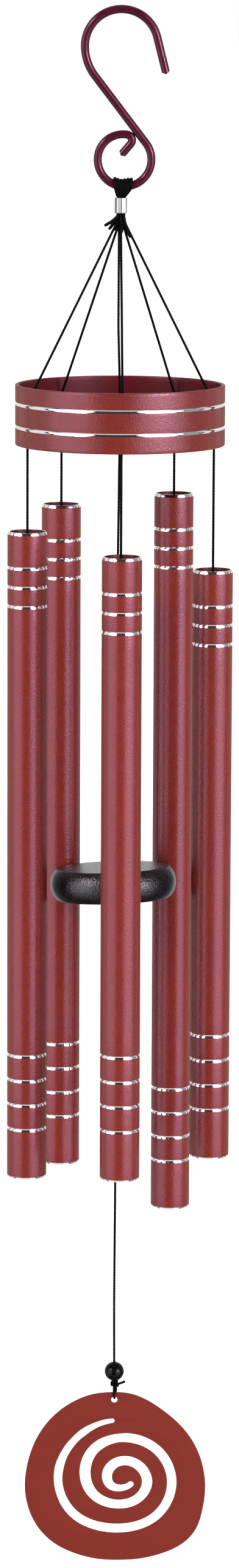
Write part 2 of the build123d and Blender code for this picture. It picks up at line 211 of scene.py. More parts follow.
def cord_material(name):
    """Black braided synthetic cord: fibre grain, dusty high spots."""
    mat, g, bsdf = new_material(name)
    vector = g.coords()
    fibre = g.noise(vector, scale=2600.0, detail=2.0, rough=0.6)
    soft = g.noise(vector, scale=380.0, detail=3.0, rough=0.6)
    color = g.mix(
        g.remap(fibre, span=(0.35, 0.75)), (0.0008, 0.0008, 0.0011), (0.0042, 0.0040, 0.0050)
    )
    dust = g.remap(soft, span=(0.5, 0.8), to=(0.0, 0.35))
    g.fill(bsdf, {
        "Base Color": g.mix(dust, color, (0.005, 0.0048, 0.006)),
        "Roughness": g.remap(soft, span=(0.3, 0.7), to=(0.5, 0.72)),
        "Specular IOR Level": 0.035,
        "Normal": g.bump(fibre, strength=0.8, distance=0.00008),
    })
    return mat


def hook_material():
    """Wine-coloured satin paint, with a warmer brown painted on the edges that turn from the view
    as a painted rim light.
    """
    mat, g, bsdf = new_material("hook_wine_paint")
    vector = g.coords()
    cloud = g.noise(vector, scale=120.0, detail=4.0, rough=0.6)
    color = g.mix(
        g.remap(cloud, span=(0.35, 0.7)), (0.050, 0.0052, 0.0145), (0.039, 0.0044, 0.0115)
    )
    # painted rim light: the colour turns warm brown toward the edges that turn from the view
    painted_rim = g.remap(g.facing(), span=(0.58, 0.95), to=(0.0, 0.9), smooth=True)
    color = g.mix(painted_rim, color, (0.120, 0.024, 0.018))
    cells = g.voronoi(vector, scale=300.0, feature="F1")
    chips = g.remap(cells, span=(0.06, 0.03), to=(0.0, 0.6))
    peel = g.noise(vector, scale=1100.0, detail=2.0, rough=0.5)
    g.fill(bsdf, {
        "Base Color": g.mix(chips, color, (0.22, 0.07, 0.05)),
        "Roughness": g.remap(cloud, span=(0.3, 0.7), to=(0.12, 0.18)),
        "Specular Tint": (1.0, 0.44, 0.58),
        "Specular IOR Level": g.remap(
            g.facing(), span=(0.45, 0.80), to=(0.40, 0.03), smooth=True
        ),
        "Normal": g.bump(peel, strength=0.8, distance=0.00006),
    })
    return mat


def striker_material():
    """Black satin paint on a turned disc: orange-peel skin and a pale dusty bloom."""
    mat, g, bsdf = new_material("striker_black_paint")
    vector = g.coords()
    skin = g.noise(vector, scale=560.0, detail=2.0, rough=0.5, distortion=0.6)
    bloom = g.noise(vector, scale=130.0, detail=4.0, rough=0.65)
    color = g.mix(
        g.remap(bloom, span=(0.35, 0.75)), (0.0024, 0.0015, 0.0042), (0.0042, 0.0030, 0.0068)
    )
    # the side is rubbed duller toward its lower edge; the skin is glossy
    # where it turns away
    split = g.fill(g.node("SeparateXYZ"), {0: g.coords()})
    low_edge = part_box("striker_disc")[0][2] + 0.0017
    rub = g.remap(
        split.outputs["Z"], span=(low_edge, low_edge + 0.015), to=(0.12, 0.54), smooth=True
    )
    away = g.remap(g.facing(), span=(0.66, 0.90), smooth=True)
    toward = g.remap(g.facing(), span=(0.26, 0.52), to=(1.0, 0.12), smooth=True)
    g.fill(bsdf, {
        "Base Color": color,
        "Roughness": g.remap(bloom, span=(0.3, 0.7), to=(0.24, 0.32)),
        "Specular IOR Level": g.math("ADD", g.math("MULTIPLY", rub, toward), away),
        "Specular Tint": (1.0, 0.93, 1.0),
        "Normal": g.bump(skin, strength=1.0, distance=0.00046),
    })
    return mat


def bead_material():
    """Gloss black lacquer."""
    mat, g, bsdf = new_material("bead_black_lacquer")
    haze = g.noise(g.coords(), scale=260.0, detail=3.0, rough=0.6)
    g.fill(bsdf, {
        "Base Color": g.mix(
            g.remap(haze, span=(0.4, 0.75)), (0.0014, 0.0014, 0.0022), (0.0035, 0.0032, 0.0045)
        ),
        "Roughness": g.remap(haze, span=(0.3, 0.7), to=(0.085, 0.12)),
        "Specular IOR Level": g.remap(
            g.facing(), span=(0.45, 0.80), to=(0.13, 0.02), smooth=True
        ),
        "Normal": g.bump(haze, strength=0.35, distance=0.00006),
    })
    return mat


red_coat = coat_material(
    "red_coat_paint",
    base=(0.166, 0.0190, 0.0105), low=(0.150, 0.0180, 0.0120), tint=(1.0, 0.58, 0.86),
    rough=0.27, grain=980.0, depth=0.000125, spec=0.60,
)
ring_coat = coat_material(
    "ring_coat_paint",
    base=(0.150, 0.0180, 0.0105), low=(0.132, 0.0172, 0.0122), tint=(1.0, 0.60, 0.82),
    rough=0.28, grain=900.0, depth=0.000145, spec=0.60,
)
# inside the ring and the tubes: the red coat darkened, as painted shade
inner_coat_shaded = coat_material(
    "inner_coat_painted_shade",
    base=(0.094, 0.0088, 0.0112), low=(0.078, 0.0074, 0.0110), tint=(1.0, 0.62, 0.80),
    rough=0.42, grain=1350.0, depth=0.00009, spec=0.22,
)
sail_coat = coat_material(
    "sail_coat_paint",
    base=(0.147, 0.0180, 0.0090), low=(0.136, 0.0170, 0.0102), tint=(1.0, 0.6, 0.8),
    rough=0.58, grain=1500.0, depth=0.00004, spec=0.18, speck=False,
)
polished = metal_material(
    "polished_band_metal", base=(0.93, 0.93, 0.95),
    rough=0.055, lines=900.0, strength=0.25, axis_scale=(0.2, 0.2, 6.0),
)
# the ferrule's edges are painted a little darker and pinker, as painted shade
ferrule_metal = metal_material(
    "ferrule_metal", base=(0.37, 0.365, 0.372), painted_rim=(0.34, 0.325, 0.33),
    rough=0.22, lines=700.0, strength=0.5, axis_scale=(3.0, 3.0, 0.25),
)
# the support disc inside the ring: the red coat darkened like the inner coat, as painted shade
plate_coat_shaded = coat_material(
    "plate_coat_paint",
    base=(0.088, 0.0088, 0.0110), low=(0.074, 0.0074, 0.0105), tint=(1.0, 0.62, 0.80),
    rough=0.45, grain=1100.0, depth=0.00010, spec=0.20,
)
pin_metal = metal_material(
    "pin_metal_steel", base=(0.62, 0.62, 0.64), rough=0.22, lines=800.0, strength=0.4
)
cord_black = cord_material("cord_black_braid")
hook_paint = hook_material()
striker_black = striker_material()
bead_black = bead_material()


# ===========================================================================
# mesh helpers (millimetres)
# ===========================================================================
class Build:
    """Collects parts of one piece, then makes the mesh."""

    def __init__(self):
        self.verts, self.faces, self.mats, self.count = [], [], [], 0

    def add(self, verts, faces, mat=0):
        """`mat` is one material number, or one for each face."""
        self.verts.append(verts)
        new = [face for part in faces for face in (part + self.count).tolist()]
        self.faces.extend(new)
        self.mats.extend(np.broadcast_to(mat, len(new)).tolist())
        self.count += len(verts)
        return self

    def done(self, name, mats, sharp=38.0):
        mesh = bpy.data.meshes.new(name)
        mesh.from_pydata((np.vstack(self.verts) * MM).tolist(), [], self.faces)
        mesh.update()
        for mat in mats:
            mesh.materials.append(mat)
        mesh.polygons.foreach_set("material_index", self.mats)
        edit = bmesh.new()
        edit.from_mesh(mesh)
        bmesh.ops.recalc_face_normals(edit, faces=edit.faces)
        edit.to_mesh(mesh)
        edit.free()
        mesh.shade_smooth()
        mesh.set_sharp_from_angle(angle=radians(sharp))
        obj = bpy.data.objects.new(name, mesh)
        bpy.context.scene.collection.objects.link(obj)
        return obj


def register(obj, slot, ride=None, blend=None, replaces=None):
    if ride:
        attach(obj, ride)
    else:
        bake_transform(obj)
    if replaces:
        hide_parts(replaces)


def finish_cord(build, name, tilt=None, **roles):
    """Makes a cord piece, tilts it if asked, and registers it."""
    obj = build.done(name, [cord_black], 60)
    if tilt is not None:
        obj.data.transform(tilt)
    register(obj, "cord_black", **roles)


def around(count):
    return np.arange(count) * 2 * pi / count


def lathe(profile, seg, mats=0, warp=None):
    """A closed outline of (r, z) turned about Z."""
    profile = np.array(profile, float)
    rows = len(profile)
    turn = around(seg)
    r = np.repeat(profile[:, 0][:, None], seg, 1)
    z = np.repeat(profile[:, 1][:, None], seg, 1)
    if warp is not None:
        r = warp(r, turn[None, :])
    verts = np.stack([r * np.cos(turn), r * np.sin(turn), z], -1)
    i = np.arange(rows)[:, None]
    j = np.arange(seg)[None, :]
    here, below = i * seg, ((i + 1) % rows) * seg
    after = (j + 1) % seg
    faces = np.stack([here + j, here + after, below + after, below + j], -1)
    if np.ndim(mats):
        mats = np.repeat(np.array(mats, int), seg)
    return verts.reshape(-1, 3), [faces.reshape(-1, 4)], mats


def skin(rings, start_tip, end_tip):
    """Joins rings of points into a bar, each end closed on a middle point."""
    rings = np.array(rings)
    rows, seg = rings.shape[:2]
    verts = np.vstack([rings.reshape(-1, 3), start_tip, end_tip])
    i = np.arange(rows - 1)[:, None]
    j = np.arange(seg)
    after = (j + 1) % seg
    here, there = i * seg + j, i * seg + after
    faces = np.stack([here, there, there + seg, here + seg], -1).reshape(-1, 4)
    last = (rows - 1) * seg
    start_cap = np.stack([after, j, np.full(seg, len(verts) - 2)], -1)
    end_cap = np.stack([last + j, last + after, np.full(seg, len(verts) - 1)], -1)
    return verts, [faces, start_cap, end_cap]


def resample(points, step):
    """Evenly spaced points along a line, and their distances along it."""
    p = np.asarray(points, float)
    gaps = np.linalg.norm(np.diff(p, axis=0), axis=1)
    p = p[np.r_[True, gaps > 1e-7]]
    dist = np.r_[0, np.cumsum(np.linalg.norm(np.diff(p, axis=0), axis=1))]
    count = max(3, int(round(dist[-1] / step)) + 1)
    s = np.linspace(0, dist[-1], count)
    return np.stack([np.interp(s, dist, p[:, axis]) for axis in range(3)], 1), s


def tangents(p):
    tangent = np.gradient(p, axis=0)
    return tangent / np.linalg.norm(tangent, axis=1)[:, None]


def carry_frames(p):
    """Tangent, normal and side along a line, carried without twist."""
    tangent = tangents(p)
    ref = np.array((0.0, 1.0, 0.0))
    if abs(ref @ tangent[0]) > 0.95:
        ref = np.array((1.0, 0.0, 0.0))
    normal = np.zeros_like(p)
    for i, way in enumerate(tangent):
        ref = ref - (ref @ way) * way
        ref = ref / np.linalg.norm(ref)
        normal[i] = ref
    return tangent, normal, np.cross(tangent, normal)


def braid(turn, s, r):
    """Two families of crossing strands round a cord."""
    pitch = 2 * pi / (2.3 * r)
    first = np.cos(4 * turn + pitch * s)
    second = np.cos(4 * turn - pitch * s)
    over = 0.25 * np.sign(np.sin(4 * turn) * np.sin(pitch * s))
    return r * (1 + 0.075 * (np.maximum(first * (1 + over), second * (1 - over)) - 0.45))


def plain(turn, s, r):
    return r * np.ones_like(turn + s)


def sweep(points, r, seg=18, step=0.32, look=braid):
    """A cord along a line, with softly rounded ends. `r` may vary with distance."""
    p, s = resample(points, step)
    tangent, normal, side = carry_frames(p)
    turn = around(seg)
    radius = r(s) if callable(r) else np.full(len(s), float(r))
    body = look(turn[None, :], s[:, None], radius[:, None])
    start_back, end_out = tangent[0] * radius[0], tangent[-1] * radius[-1]
    # two shrinking rings past each end: (part of the end ring, reach out in radii)
    (near, near_out), (far, far_out) = (0.86, 0.22), (0.55, 0.42)
    centres = np.vstack([
        p[0] - far_out * start_back, p[0] - near_out * start_back, p,
        p[-1] + near_out * end_out, p[-1] + far_out * end_out,
    ])
    radii = np.vstack([body[0] * far, body[0] * near, body, body[-1] * near, body[-1] * far])
    normal = np.vstack([[normal[0]] * 2, normal, [normal[-1]] * 2])
    side = np.vstack([[side[0]] * 2, side, [side[-1]] * 2])
    rings = centres[:, None, :] + radii[..., None] * (
        np.cos(turn)[None, :, None] * normal[:, None, :]
        + np.sin(turn)[None, :, None] * side[:, None, :]
    )
    return skin(rings, p[0] - 0.5 * start_back, p[-1] + 0.5 * end_out)


def fillet_line(points, radius, steps=16):
    """A polyline with its corners rounded."""
    p = [np.array(point, float) for point in points]
    out = [p[0]]
    for before, corner, after in zip(p[:-2], p[1:-1], p[2:]):
        u, w = before - corner, after - corner
        len_u, len_w = np.linalg.norm(u), np.linalg.norm(w)
        u, w = u / len_u, w / len_w
        angle = math.acos(float(np.clip(u @ w, -1, 1)))
        if abs(pi - angle) < 1e-4:
            out.append(corner)
            continue
        cut = min(radius / math.tan(angle / 2), 0.49 * len_u, 0.49 * len_w)
        start, end = corner + u * cut, corner + w * cut
        for i in range(steps + 1):
            q = i / steps
            # a rational arc through the corner
            w0, w1, w2 = (1 - q) ** 2, 2 * q * (1 - q) * sin(angle / 2), q * q
            out.append((start * w0 + corner * w1 + end * w2) / (w0 + w1 + w2))
    out.append(p[-1])
    return dense(out, 0.5)


def dense(points, step):
    """A polyline with points added about every `step`."""
    points = [np.array(point, float) for point in points]
    out = [points[0]]
    for start, end in zip(points[:-1], points[1:]):
        count = max(1, int(np.linalg.norm(end - start) / step))
        out.extend(start + (end - start) * (i + 1) / count for i in range(count))
    return out


def hermite(start, end, start_way, end_way, count=40):
    start, end, start_way, end_way = (
        np.array(value, float) for value in (start, end, start_way, end_way)
    )
    q = np.linspace(0, 1, count)[:, None]
    return list(
        (2 * q**3 - 3 * q**2 + 1) * start
        + (q**3 - 2 * q**2 + q) * start_way
        + (-2 * q**3 + 3 * q**2) * end
        + (q**3 - q**2) * end_way
    )


def knot(centre, size, r, axis, turn, seg):
    """An overhand knot pulled tight, about `size` across."""
    axis = Vector(axis).normalized()
    side = Matrix.Rotation(turn, 3, axis) @ axis.orthogonal().normalized()
    up = axis.cross(side)
    scale = (size - r) / 3.0
    points = []
    for i in range(140):
        q = 0.35 + 2 * pi * i / 136
        x = sin(q) + 2 * sin(2 * q)
        y = cos(q) - 2 * cos(2 * q)
        z = -1.15 * sin(3 * q)
        points.append(
            np.array(centre)
            + scale * (x * np.array(side) + y * np.array(up) + z * np.array(axis))
        )
    return sweep(points, r, seg=seg, step=0.22)


def fibre_radius(s):
    return 0.17 * (1 - 0.6 * s / max(s[-1], 0.1))


def frayed(build, line, r, count):
    """Short loose fibres on the cut end of a cord that follows `line`."""
    way = line[-1] - line[-3]
    way /= np.linalg.norm(way)
    for _ in range(count):
        off = np.array([rng.uniform(-1, 1) for _ in range(3)])
        off -= (off @ way) * way
        start = line[-1] - way * 0.5 + off * r * 0.6
        lean_way = way + off * 0.42
        lean_way /= np.linalg.norm(lean_way)
        length = rng.uniform(0.9, 1.8)
        bend = np.array([rng.uniform(-0.3, 0.3) for _ in range(3)])
        points = [
            start,
            start + lean_way * length * 0.5,
            start + lean_way * length + bend * length * 0.5,
        ]
        build.add(*sweep(dense(points, 0.3), fibre_radius, seg=6, step=0.3, look=plain))


def at_bearing(r, bearing):
    return r * cos(radians(bearing)), r * sin(radians(bearing))


def mm_box(node):
    lo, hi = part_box(node)
    return np.array(lo) / MM, np.array(hi) / MM


# ===========================================================================
# sizes shared with the CAD
# ===========================================================================
joints = {joint["name"]: joint for joint in frame["record"]["behaviour"]["joints"]}


def joint_mm(name):
    return Vector(joints[name]["pos_m"]) / MM


# the striker's line and the sail's line each hang a little off plumb
line_top = joint_mm("striker_swing")
line_low = joint_mm("sail_line_swing")
up_sail = Vector(joints["bead_slide"]["axis"])
striker_lean = atan2(line_top.x - line_low.x, line_top.z - line_low.z)
sail_lean = atan2(up_sail.x, up_sail.z)


def turned_about(point, angle):
    """A turn about the Y direction through `point`."""
    pivot = point * MM
    turn = Matrix.Rotation(angle, 4, "Y")
    return Matrix.Translation(pivot) @ turn @ Matrix.Translation(-pivot)


# pieces on the lines are laid out plumb, then tilted by these
on_striker_line = turned_about(line_top, striker_lean)
on_sail_line = turned_about(line_low, sail_lean - striker_lean) @ on_striker_line


def plumb_z(name):
    """Height of a joint when the striker's line is let down plumb."""
    return line_top.z - (joint_mm(name) - line_top).length


def axis_point(z, tilt):
    """A point at height z on the axis, tilted with its line, in metres."""
    return tuple(tilt @ Vector((0, 0, z * MM)))


ferrule_lo, ferrule_hi = mm_box("crimp_ferrule")
ferrule_top, ferrule_bottom = ferrule_hi[2], ferrule_lo[2]
ferrule_r = (ferrule_hi[0] - ferrule_lo[0]) / 2
ring_lo, ring_hi = mm_box("hanging_ring")
ring_top, ring_bottom = ring_hi[2], ring_lo[2]
ring_r = (ring_hi[0] - ring_lo[0]) / 2
disc_lo, disc_hi = mm_box("support_disc")
disc_top, disc_bottom = disc_hi[2], disc_lo[2]
cord_hang_r = 77.5  # circle on which the tube cords pass the ring
flex_z = ring_bottom - 1.0  # where the tube cords start to swing
stop_knot_z = disc_bottom - 2.0

# strands in the crimp by bearing: nine round the outside, and three inside them
# under negative bearings
strands = {a: at_bearing(2.64, a) for a in range(30, 390, 40)}
strands.update({-a: at_bearing(1.0, a) for a in (90, 210, 330)})

# cords leaving the crimp go from its motion to the ring's over this height
crimp_to_ring = (
    "crimp", "ring", (0, 0, (ferrule_bottom + 0.4) * MM), (0, 0, (ferrule_bottom - 8.0) * MM)
)

# ===========================================================================
# S-hook: an open leg, the crook, a leaning shank, and a curl with its end tucked in
# ===========================================================================
rod_r = 3.175
crook_r = 28.8
leg_deg, leg_len = 14.3, 29.0
shank_r, shank_deg = 38.1, 37.5
curl_r = 21.15
curl_z = -138.65 + rod_r + curl_r  # the underside of the curl is at -138.65
curl_in_r, curl_in_end = 19.8, 80.0
tuck_r, tuck_len, tuck_deg = 4.5, 11.0, -40.7


def on_circle(centre, r, degrees):
    angle = radians(degrees)
    return centre + r * np.array((cos(angle), 0.0, sin(angle)))


def arc_xz(centre, r, start, end, count):
    return [on_circle(centre, r, a) for a in np.linspace(start, end, count)]


def down_from(point, length, degrees):
    """`length` down from a point, turned toward +X by `degrees`."""
    angle = radians(degrees)
    return point + length * np.array((sin(angle), 0.0, -cos(angle)))


crook_mid = np.array((0.0, 0.0, rod_r - crook_r))
leg_start = on_circle(crook_mid, crook_r, leg_deg)
leg_tip = down_from(leg_start, leg_len, leg_deg)
shank_mid = crook_mid + np.array((shank_r - crook_r, 0.0, 0.0))
shank_start = on_circle(shank_mid, shank_r, 180 + shank_deg)
shank_drop = shank_start[2] - (curl_z + curl_r * sin(radians(shank_deg)))
shank_end = down_from(shank_start, shank_drop / cos(radians(shank_deg)), shank_deg)
curl_x = shank_end[0] - curl_r * cos(radians(shank_deg))
curl_mid = np.array((curl_x, 0.0, curl_z))
curl_in_mid = np.array((curl_x - curl_r + curl_in_r, 0.0, curl_z))
tuck_mid = on_circle(curl_in_mid, curl_in_r - tuck_r, curl_in_end)
tuck_end = on_circle(tuck_mid, tuck_r, tuck_deg)
tuck_tip = down_from(tuck_end, tuck_len, tuck_deg)

hook_line = (
    dense([leg_tip, leg_start], 0.5)
    + arc_xz(crook_mid, crook_r, leg_deg, 180, 260)
    + arc_xz(shank_mid, shank_r, 180, 180 + shank_deg, 90)
    + dense([shank_start, shank_end], 0.5)
    + arc_xz(curl_mid, curl_r, shank_deg, -180, 260)
    + arc_xz(curl_in_mid, curl_in_r, 180, curl_in_end, 120)
    + arc_xz(tuck_mid, tuck_r, curl_in_end, tuck_deg, 60)
    + dense([tuck_end, tuck_tip], 0.5)
)


def hook_bar(line, r, seg=44, step=0.6):
    """The bent bar. Both ends are pinch-cut to a blunt wedge, as shears leave them."""
    p, s = resample(line, step)
    tangent = tangents(p)
    normal = np.cross(np.array((0.0, 1.0, 0.0)), tangent)
    normal /= np.linalg.norm(normal, axis=1)[:, None]
    side = np.cross(tangent, normal)
    turn = around(seg)
    # slope of the wedge, length it fades over, and how far its ridge leads
    slope, reach, lead = 0.62, 5.0, 0.75
    across = r * np.cos(turn)

    def roof(offset):
        return slope * np.sqrt(offset**2 + 0.12)

    body = []
    for i in range(len(p)):
        shift = np.zeros(seg)
        from_start, from_end = s[i], s[-1] - s[i]
        if from_end < reach:
            shift -= (roof(across) - lead) * (1 - from_end / reach) ** 2
        if from_start < reach:
            shift += (roof(across) - lead) * (1 - from_start / reach) ** 2
        body.append(
            p[i]
            + across[:, None] * normal[i]
            + (r * np.sin(turn))[:, None] * side[i]
            + shift[:, None] * tangent[i]
        )

    def end_ring(i, sign, part, out):
        offset = (out + lead - roof(across * part))[:, None] * tangent[i]
        return (
            p[i]
            + (across * part)[:, None] * normal[i]
            + (r * part * np.sin(turn))[:, None] * side[i]
            + sign * offset
        )

    # rings that close the cut face: (part of the radius, reach out)
    closing = ((0.985, 0.10), (0.93, 0.22), (0.8, 0.27), (0.6, 0.28), (0.35, 0.28))
    start = [end_ring(0, -1, *row) for row in reversed(closing)]
    end = [end_ring(-1, 1, *row) for row in closing]
    peak = lead + 0.28 - slope * sqrt(0.12)
    return skin(start + body + end, p[0] - tangent[0] * peak, p[-1] + tangent[-1] * peak)


hook = Build().add(*hook_bar(hook_line, rod_r + 0.12)).done("hook_bar", [hook_paint], 30)
register(hook, "hook_paint", ride="hook", replaces="s_hook")

# ===========================================================================
# cord loops over the curl
# ===========================================================================
# x on the curl, cord radius, slack over the bar, strand its front and back legs join
CURL_LOOPS = (
    (-4.75, 1.36, 0.55, 230, 190),
    (-2.35, 1.42, 0.1, -210, 150),
    (0.15, 1.40, 0.0, 270, 110),
    (2.7, 1.46, 0.7, -330, -90),
    (5.3, 1.50, 1.1, 310, 70),
    (7.75, 1.42, 0.7, 350, 30),
)
build = Build()
for i, (x, loop_r, slack, front_strand, back_strand) in enumerate(CURL_LOOPS):
    wrap = rod_r + loop_r + 0.06 + slack * 0.5
    rod_z = curl_z - sqrt(curl_r**2 - (x - curl_x) ** 2)
    front, back = strands[front_strand], strands[back_strand]
    low = ferrule_top - 1.6
    sway = 0.5 * sin(2.1 * i)
    line = [(*front, low), (*front, low + 1.0)]
    line += hermite((*front, low + 1.2), (x, -wrap, rod_z), (0, 0, 7.5), (sway, 0.0, 9.5))
    line += [
        (x + 0.25 * sin(a * 2 + i), -wrap * cos(a), rod_z + wrap * sin(a))
        for a in np.linspace(0.08, pi - 0.08, 40)
    ]
    line += hermite((x, wrap, rod_z), (*back, low + 1.2), (-sway, 0.0, -9.5), (0, 0, -7.5))
    line += [(*back, low + 1.0), (*back, low)]

    def taper(s, full=loop_r, thin=0.88):
        """Thin where the loop enters the crimp."""
        w = np.clip((np.minimum(s, s[-1] - s) - 1.3) / 3.2, 0, 1)
        w = w * w * (3 - 2 * w)
        return thin + (full - thin) * w

    build.add(*sweep(line, taper, seg=20, step=0.3))
finish_cord(
    build, "cord_loops_over_curl", replaces="hook_cord_loops",
    blend=("hook_loops", "crimp", (0, 0, -0.1405), (0, 0, (ferrule_top - 1.2) * MM)),
)

# ===========================================================================
# crimp
# ===========================================================================
ferrule_in = 3.72
press_depth = 0.24
press_bearings = [radians(a - 90) for a in (-15, 35, 80, 126, 172, -60, -112)]


def ferrule_profile():
    inner, outer, top, bottom = ferrule_in, ferrule_r, ferrule_top, ferrule_bottom
    points = [(inner, top - 0.35), (inner + 0.12, top - 0.1), (inner + 0.35, top)]
    points += [(outer - 0.35, top), (outer - 0.12, top - 0.1), (outer, top - 0.38)]
    points += [(outer, z) for z in np.linspace(top - 0.9, bottom + 0.9, 22)]
    points += [(outer, bottom + 0.38), (outer - 0.12, bottom + 0.1), (outer - 0.35, bottom)]
    points += [(inner + 0.35, bottom), (inner + 0.12, bottom + 0.1), (inner, bottom + 0.35)]
    return points + [(inner, z) for z in np.linspace(bottom + 0.9, top - 0.9, 12)]


def crimped(r, turn):
    """Long flats left by the press."""
    flat = ferrule_r + 0 * turn
    for bearing in press_bearings:
        c = np.cos(turn - bearing)
        face = (ferrule_r - press_depth) / np.maximum(c, 0.7)
        flat = np.minimum(flat, np.where(c > 0.7, face, ferrule_r))
    return np.where(r > ferrule_r - 0.5, r - (ferrule_r - flat), r)


build = Build().add(*lathe(ferrule_profile(), 240, warp=crimped))
ferrule = build.done("crimp_ferrule_shell", [ferrule_metal], 60)
register(ferrule, "crimp_metal", ride="crimp", replaces="crimp_ferrule")

build = Build()
for x, y in strands.values():
    line = dense([(x, y, ferrule_top - 0.3), (x, y, ferrule_bottom + 0.1)], 1.0)
    build.add(*sweep(line, 0.86, seg=16, step=0.35))
finish_cord(build, "cords_in_crimp", ride="crimp", replaces="crimped_cords")

# ===========================================================================
# hanging ring
# ===========================================================================
# the inner number takes the darkened coat: painted shade inside the ring and the tubes
COAT, BRIGHT, INNER_SHADED = 0, 1, 2  # material numbers on the ring and the tubes
LIP = 0.05  # thickness of the coat, seen at the edge of a cut band
BAND_W = 2.6


class Outline:
    """A closed outline of (r, z), with the material of the span after each point."""

    def __init__(self):
        self.points, self.mats = [], []

    def line(self, points, mat=COAT):
        self.points += points
        self.mats += [mat] * len(points)

    def band(self, r, z, depth):
        """Down a cut band: lip of the coat, round-bottomed bright cut, lip."""
        half = BAND_W / 2
        cut_r = (BAND_W * BAND_W / 4 + depth * depth) / (2 * depth)
        self.line([(r, z + half + 0.14), (r - 0.012, z + half + 0.05)])
        self.line([(r - LIP, z + half - 0.02)], BRIGHT)
        self.line(
            [
                (r + cut_r - depth - sqrt(cut_r * cut_r - dz * dz), z + dz)
                for dz in np.linspace(half - 0.1, -(half - 0.1), 13)
            ],
            BRIGHT,
        )
        self.line([(r - LIP, z - half + 0.02), (r - 0.012, z - half - 0.05)])
        self.line([(r, z - half - 0.14)])


def ring_outline():
    """Heights are measured from the top of the ring."""
    outer, inner = ring_r, ring_r - 3.2
    low = ring_bottom - ring_top
    edge, part = 0.62, 0.62 * 0.3  # rounding of the rims
    ring = Outline()
    ring.line([(inner, -edge), (inner + part, -part), (inner + edge, 0.0)])
    ring.line([(outer - edge, 0.0), (outer - part, -part), (outer, -edge)])
    ring.line([(outer, -3.0), (outer, -11.0)])
    for drop in (14.6, 32.9):
        ring.band(outer, -drop, depth=0.4)
        ring.line([(outer, -drop - 4.0), (outer, -drop - 12.0)])
    ring.line([(outer, low + edge), (outer - part, low + part), (outer - edge, low)])
    ring.line([(inner + edge, low), (inner + part, low + part)])
    # the inner wall takes the darkened coat: painted shade
    ring.line([(inner, low + edge)], INNER_SHADED)
    ring.line([(inner, z) for z in np.linspace(low + 4, -4, 10)], INNER_SHADED)
    return ring


outline = ring_outline()
build = Build().add(*lathe([(r, z + ring_top) for r, z in outline.points], 420, outline.mats))
ring = build.done("ring_band", [ring_coat, polished, inner_coat_shaded], 45)
register(ring, "red_coat", ride="ring", replaces="hanging_ring")

# the CAD support disc is kept, and only painted
# its darkened coat is painted shade
for slot in frame["nodes"]["support_disc"].material_slots:
    slot.link = "OBJECT"
    slot.material = plate_coat_shaded

# ===========================================================================
# cords from the crimp to the ring
# ===========================================================================
# tube: (bearing of its cross pin, strand in the crimp that carries it)
TUBES = {
    "a": (18.0, 190),
    "b": (-95.0, 110),
    "c": (155.0, 270),
    "d": (-166.0, 70),
    "e": (162.0, 350),
}


def hanging_cord(name):
    """A cord spread from the crimp to the ring, and the knot that stops it there."""
    lo, hi = mm_box(f"tube_{name}")
    bearing = math.degrees(atan2(lo[1] + hi[1], lo[0] + hi[0]))
    x, y = at_bearing(cord_hang_r, bearing)
    strand_x, strand_y = strands[TUBES[name][1]]
    line = [np.array((strand_x, strand_y, ferrule_bottom + 1.3))]
    line += fillet_line(
        [
            (strand_x, strand_y, ferrule_bottom + 1.2),
            (strand_x, strand_y, ferrule_bottom - 0.6),
            (strand_x * 1.04, strand_y * 1.04, ferrule_bottom - 6.4),
            (x, y, disc_top + 1.6),
            (x, y, stop_knot_z),
        ],
        radius=5.0,
    )
    finish_cord(
        Build().add(*sweep(line, 1.0, step=0.3)), f"hanging_cord_{name}",
        blend=crimp_to_ring, replaces=f"upper_cord_{name}",
    )
    stop = knot((x, y, stop_knot_z), 2.35, 0.80, (x, y, 0.0), rng.uniform(0, 6), 14)
    finish_cord(Build().add(*stop), f"stop_knot_{name}", ride="ring")


for name in TUBES:
    hanging_cord(name)

strand_x, strand_y = strands[-90]
line = fillet_line(
    [
        (strand_x, strand_y, ferrule_bottom + 1.2),
        (strand_x - 1.5, strand_y - 0.2, ferrule_bottom - 11),
        (-1.6, 0.6, disc_top + 60),
        (0, 0, disc_top + 1.5),
        (0, 0, disc_bottom - 0.2),
    ],
    radius=40,
)
finish_cord(
    Build().add(*sweep(line, 1.0, step=0.3)), "hanging_cord_striker",
    blend=crimp_to_ring, replaces="upper_cord_striker",
)

# loose tails under the crimp: strand, x and y of the tip, drop below the crimp
TAILS = (
    (230, -12.5, -6.8, 8.9),
    (150, -9.2, 4.2, 12.2),
    (-210, -4.9, -2.2, 12.6),
    (310, 7.4, -3.2, 18.0),
    (30, 5.0, 3.8, 15.0),
    (-330, 0.6, -2.9, 14.6),
)


def tail_radius(s):
    """Swells out of the crimp and thins at the tip."""
    swell = np.clip((s - 1.2) / 3.0, 0, 1)
    tip = np.clip((s[-1] - s) / 1.2, 0, 1)
    return (0.86 + 0.44 * swell) * (0.82 + 0.18 * tip)


build = Build()
for strand, tip_x, tip_y, drop in TAILS:
    strand_x, strand_y = strands[strand]
    start = np.array((strand_x, strand_y, ferrule_bottom + 1.0))
    tip = np.array((tip_x, tip_y, ferrule_bottom - 0.45 - drop))
    chord = np.linalg.norm(tip - start)
    way = np.array((tip_x - strand_x, tip_y - strand_y, -drop * 0.7))
    way /= np.linalg.norm(way)
    kink = np.array((rng.uniform(-0.5, 0.5), rng.uniform(-0.4, 0.4), 0.0))
    line = hermite(start, tip, (0, 0, -chord * 0.9), way * chord * 0.8 + kink * 2, 50)
    line = [point + kink * 0.6 * sin(3.1 * i / 50) for i, point in enumerate(line)]
    build.add(*sweep(line, tail_radius, step=0.28))
    frayed(build, line, r=1.0, count=9)
finish_cord(build, "loose_cord_tails", blend=crimp_to_ring, replaces="cord_tails")

# ===========================================================================
# tubes, pins, loops and their cords
# ===========================================================================
TUBE_R, TUBE_IN = 15.875, 13.875
PIN_R = 1.6
LOOP_R = 0.86
LOOP_RISE = 9.0  # height of the loop's knot over the pin
BAND_CLEAR = 1.6  # plain wall stops this far from the middle of a band
CORD_BOW = {"c": -0.85}  # sideways shift of a drop cord between ring and tube


